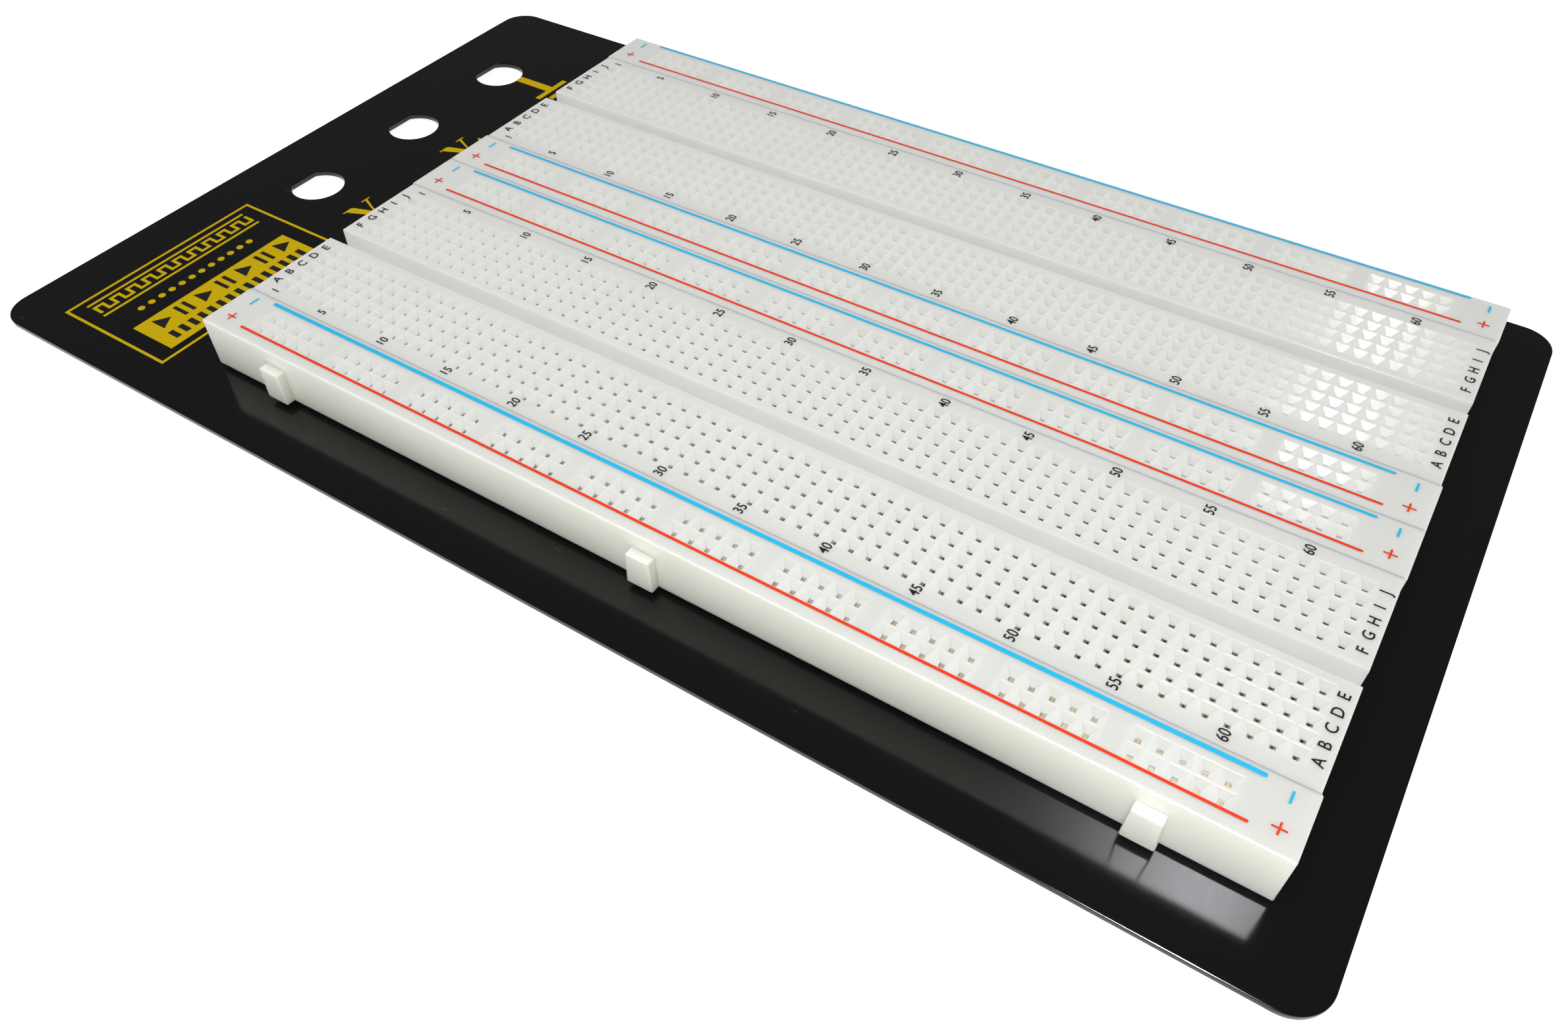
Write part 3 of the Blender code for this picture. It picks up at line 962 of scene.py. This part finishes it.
def base_plate(name, material):
    low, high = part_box("base_plate")
    levels = rounded_levels(low.z, high.z, PLATE_EDGE_ROUNDING)
    bm = bmesh.new()
    add_rings(bm, [[(x, y, z) for x, y in plate_outline(low, high, inset)] for inset, z in levels])
    plate = mesh_object(name, bm)
    flare = POST_HOLE_ROUNDING + OVERCUT
    rings = [(flare, low.z - OVERCUT)] + rounded_levels(low.z, high.z, POST_HOLE_ROUNDING)
    rings += [(flare, high.z + OVERCUT)]
    for hole_y in POST_HOLE_YS:
        bm = bmesh.new()
        add_rings(bm, [[(x, y, z) for x, y in post_hole_outline(hole_y, grow)] for grow, z in rings])
        combine(plate, bm, "DIFFERENCE")
    finish_surface(plate, material, PLATE_SMOOTH_ANGLE)
    plate.data.normals_split_custom_set(flat_shading(plate.data))
    return plate


def foot(name, low, high, material):
    """A turned rubber bumper: a dished face to stand on, a rounded rim and a slightly waisted side."""
    centre = (low + high) / 2
    top = high.z - low.z + FOOT_REACH
    top_radius = (high.x - low.x) / 2
    bottom_radius = top_radius * FOOT_TAPER
    profile = [(bottom_radius * FOOT_DISH_INNER, FOOT_DISH), (bottom_radius * FOOT_DISH_OUTER, 0.0)]
    curve = rounding_curve(FOOT_ROUNDING, FOOT_CURVE_STEPS)
    profile += [(bottom_radius - inset, rise) for inset, rise in curve]
    for step in range(1, FOOT_CURVE_STEPS + 1):
        t = step / FOOT_CURVE_STEPS
        waist = FOOT_WAIST * math.sin(math.pi * t)
        profile.append((bottom_radius + (top_radius - bottom_radius) * t - waist,
                        FOOT_ROUNDING + (top - FOOT_ROUNDING - FOOT_CHAMFER) * t))
    profile.append((top_radius - FOOT_CHAMFER, top))
    turns = [2 * math.pi * i / FOOT_STEPS for i in range(FOOT_STEPS)]
    bm = bmesh.new()
    add_rings(bm, [[(centre.x + radius * math.cos(turn), centre.y + radius * math.sin(turn), low.z + z)
                    for turn in turns] for radius, z in profile])
    return mesh_object(name, bm, material, FOOT_SMOOTH_ANGLE)


def foam_pad(name, low, high, bottom, top, material):
    """A strip of foam whose cut edges wander slightly."""
    rng = random.Random(name)
    length, width = high.x - low.x, high.y - low.y
    steps_y = max(FOAM_LEAST_STEPS, int(width / FOAM_STEP_Y))
    outline = [(low.x + length * i / FOAM_STEPS_X, low.y) for i in range(FOAM_STEPS_X)]
    outline += [(high.x, low.y + width * i / steps_y) for i in range(steps_y)]
    outline += [(high.x - length * i / FOAM_STEPS_X, high.y) for i in range(FOAM_STEPS_X)]
    outline += [(low.x, high.y - width * i / steps_y) for i in range(steps_y)]
    centre = (low + high) / 2
    wander = [rng.uniform(-FOAM_WANDER, FOAM_WANDER) for _ in outline]
    rings = []
    for z, grow in ((bottom, 0.0), ((bottom + top) / 2, FOAM_BULGE), (top, 0.0)):
        rings.append([(x + (w + grow) * math.copysign(1, x - centre.x),
                       y + (w + grow) * math.copysign(1, y - centre.y), z)
                      for (x, y), w in zip(outline, wander)])
    bm = bmesh.new()
    add_rings(bm, rings)
    return mesh_object(name, bm, material, FOAM_SMOOTH_ANGLE)


# ---------------------------------------------------------------- the object

def settle(piece, node=None, place=None):
    """Put a piece in place, ride it on the one body, and hide the CAD part it takes the place of, if one is
    given.
    """
    if place is not None:
        piece.location = place
    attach(piece, "root")
    if node:
        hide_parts(node)


def make_terminal_strips(plastic, metal, black):
    moulding = strip_moulding(terminal_body, "terminal_strip_1", (), plastic)
    clips = terminal_clips("terminal_clips", metal)
    letters = terminal_print("terminal_print", black)
    for number in (1, 2):
        node = f"terminal_strip_{number}"
        middle = strip_place(node)[0]
        settle(shared_copy(moulding, node + "_moulding"), node, middle)
        settle(shared_copy(clips, node + "_clips"), None, middle)
        settle(shared_copy(letters, node + "_print"), None, middle)
    for source in (moulding, clips, letters):
        bpy.data.objects.remove(source)


def make_bus_strips(plastic, metal, inks):
    front = strip_moulding(bus_body, "bus_strip_1", (FRONT,), plastic)
    between = strip_moulding(bus_body, "bus_strip_1", (), plastic)
    rear = strip_moulding(bus_body, "bus_strip_1", (REAR,), plastic)
    rails = {
        "positive": bus_rail("positive", -BUS_ROW, metal),
        "negative": bus_rail("negative", BUS_ROW, metal),
    }
    for number, moulding in enumerate((front, between, between, rear), start=1):
        node = f"bus_strip_{number}"
        middle = strip_place(node)[0]
        settle(shared_copy(moulding, node + "_moulding"), node, middle)
        for sign, rail in rails.items():
            settle(shared_copy(rail, f"{sign}_rail_{number}_fingers"),
                   f"{sign}_rail_{number}", middle)
        for color, (place, width) in BUS_LINES[node].items():
            settle(bus_print(f"{node}_{color}_line", color, place, width, inks[color]),
                   None, middle)
    for source in (front, between, rear, *rails.values()):
        bpy.data.objects.remove(source)


def make_plate(gloss, inks):
    settle(base_plate("base_plate_sheet", gloss), "base_plate")
    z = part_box("base_plate")[1].z + INK_LIFT
    settle(yellow_print("plate_print_yellow", z, inks["yellow"]))
    z += INK_THICKNESS + INK_LIFT
    settle(black_print("plate_print_black", z, inks["black"]))


def make_feet(material):
    for place in FOOT_PLACES:
        node = "foot_" + place
        low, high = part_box(node)
        settle(foot(node + "_bumper", low, high, material), node)


def make_foam(material):
    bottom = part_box("base_plate")[1].z + FOAM_GAP
    for strip in [f"bus_strip_{n}" for n in (1, 2, 3, 4)] + [f"terminal_strip_{n}" for n in (1, 2)]:
        low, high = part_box("foam_under_" + strip)
        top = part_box(strip)[0].z - FOAM_GAP
        pad = foam_pad("foam_pad_" + strip, low, high, bottom, top, material)
        settle(pad, "foam_under_" + strip)


def make_object():
    plastic = white_plastic()
    metal = spring_metal()
    inks = {color: ink(color + "_ink", *look) for color, look in INKS.items()}
    make_terminal_strips(plastic, metal, inks["black"])
    make_bus_strips(plastic, metal, inks)
    make_plate(black_gloss(), inks)
    make_feet(rubber())
    make_foam(foam_skin())


# ---------------------------------------------------------------- floor, light and camera

def one_sided(tree, shader):
    """Leave the floor clear from below, so that the object's underside can be looked at."""
    geometry = tree.nodes.new("ShaderNodeNewGeometry")
    clear = tree.nodes.new("ShaderNodeBsdfTransparent")
    choice = tree.nodes.new("ShaderNodeMixShader")
    tree.links.new(geometry.outputs["Backfacing"], choice.inputs[0])
    tree.links.new(shader.outputs[0], choice.inputs[1])
    tree.links.new(clear.outputs[0], choice.inputs[2])
    tree.links.new(choice.outputs[0], tree.nodes["Material Output"].inputs["Surface"])


def make_floor():
    bm = bmesh.new()
    bmesh.ops.create_grid(bm, x_segments=1, y_segments=1, size=FLOOR_REACH)
    material, tree, shader = shader_tree("pale_floor", {
        "Roughness": 0.8,
        "Emission Color": (*WHITE, 1.0),
        "Emission Strength": FLOOR_GLOW,
    })
    patches = noise(tree, place_vector(tree), 0.3)
    tree.links.new(blend_colors(tree, patches, FLOOR_DARK, FLOOR_LIGHT), shader.inputs["Base Color"])
    one_sided(tree, shader)
    floor = mesh_object("studio_floor", bm, material)


def make_backdrop():
    """A pale surround that lights nothing, so that low views have a plain background too."""
    bm = bmesh.new()
    bmesh.ops.create_icosphere(bm, subdivisions=4, radius=BACKDROP_RADIUS)
    material, _, _ = shader_tree("pale_backdrop", {
        "Base Color": (*BLACK, 1.0),
        "Roughness": 1.0,
        "Specular IOR Level": 0.0,
        "Emission Color": (*WHITE, 1.0),
        "Emission Strength": BACKDROP_LEVEL,
    })
    backdrop = mesh_object("studio_backdrop", bm, material)
    for kind in ("diffuse", "glossy", "transmission", "volume_scatter", "shadow"):
        setattr(backdrop, "visible_" + kind, False)


def add_light(data, place, target):
    """A lamp at a place, turned to shine at a target."""
    light = bpy.data.objects.new(data.name, data)
    light.location = place
    light.rotation_euler = (Vector(target) - Vector(place)).to_track_quat("-Z", "Y").to_euler()
    bpy.context.scene.collection.objects.link(light)
    return light


def add_softbox(name, place, target, size, power):
    data = bpy.data.lights.new(name, "AREA")
    data.shape = "RECTANGLE"
    data.size, data.size_y = size
    data.energy = power
    return add_light(data, place, target)


def add_spot(name, place, target, angle, softness, power, color):
    data = bpy.data.lights.new(name, "SPOT")
    data.energy = power
    data.color = color
    data.spot_size = math.radians(angle)
    data.spot_blend = 1.0
    data.shadow_soft_size = softness
    return add_light(data, place, target)


def make_lights():
    """Soft light from above and in front, and small lamps near the lens for glints and the plate's sheen."""
    world = bpy.data.worlds.new("studio")
    bpy.context.scene.world = world
    world.use_nodes = True
    background = world.node_tree.nodes["Background"]
    background.inputs["Color"].default_value = (*WHITE, 1.0)
    background.inputs["Strength"].default_value = WORLD_LEVEL
    overhead = add_softbox("overhead_softbox", place=(0.02, -0.12, 0.85), target=(0.0, 0.0, 0.0),
                           size=(1.0, 0.9), power=6.4)
    front = add_softbox("front_softbox", place=(0.10, -0.70, 0.26), target=(0.0, 0.0, 0.0),
                        size=(0.6, 0.3), power=0.6)
    lens = add_softbox("lens_light", place=(0.088, -0.150, 0.150), target=(0.03, 0.0, 0.0),
                       size=(0.045, 0.025), power=0.09)
    for light in (overhead, front, lens):
        light.visible_glossy = False
    glint = add_softbox("glint_light", place=(0.081, -0.150, 0.150), target=(0.06, -0.02, 0.0),
                        size=(0.012, 0.026), power=0.088)
    corner = add_spot("corner_spot", place=(0.100, -0.150, 0.150), target=(0.090, -0.058, 0.004),
                      angle=17, softness=0.008, power=8.5, color=(0.93, 0.96, 1.0))
    for light in (glint, corner):
        light.visible_diffuse = False


def make_camera():
    data = bpy.data.cameras.new("camera")
    data.sensor_width = SENSOR_WIDTH
    data.lens = LENS
    data.shift_x, data.shift_y = CAMERA_SHIFT
    data.clip_start = CAMERA_CLIP_START
    camera = bpy.data.objects.new("camera", data)
    camera.location = CAMERA_PLACE
    camera.rotation_euler = [math.radians(angle) for angle in CAMERA_ANGLES]
    bpy.context.scene.collection.objects.link(camera)
    bpy.context.scene.camera = camera
    bpy.context.scene.view_settings.view_transform = "Standard"


make_object()
make_floor()
make_backdrop()
make_lights()
make_camera()
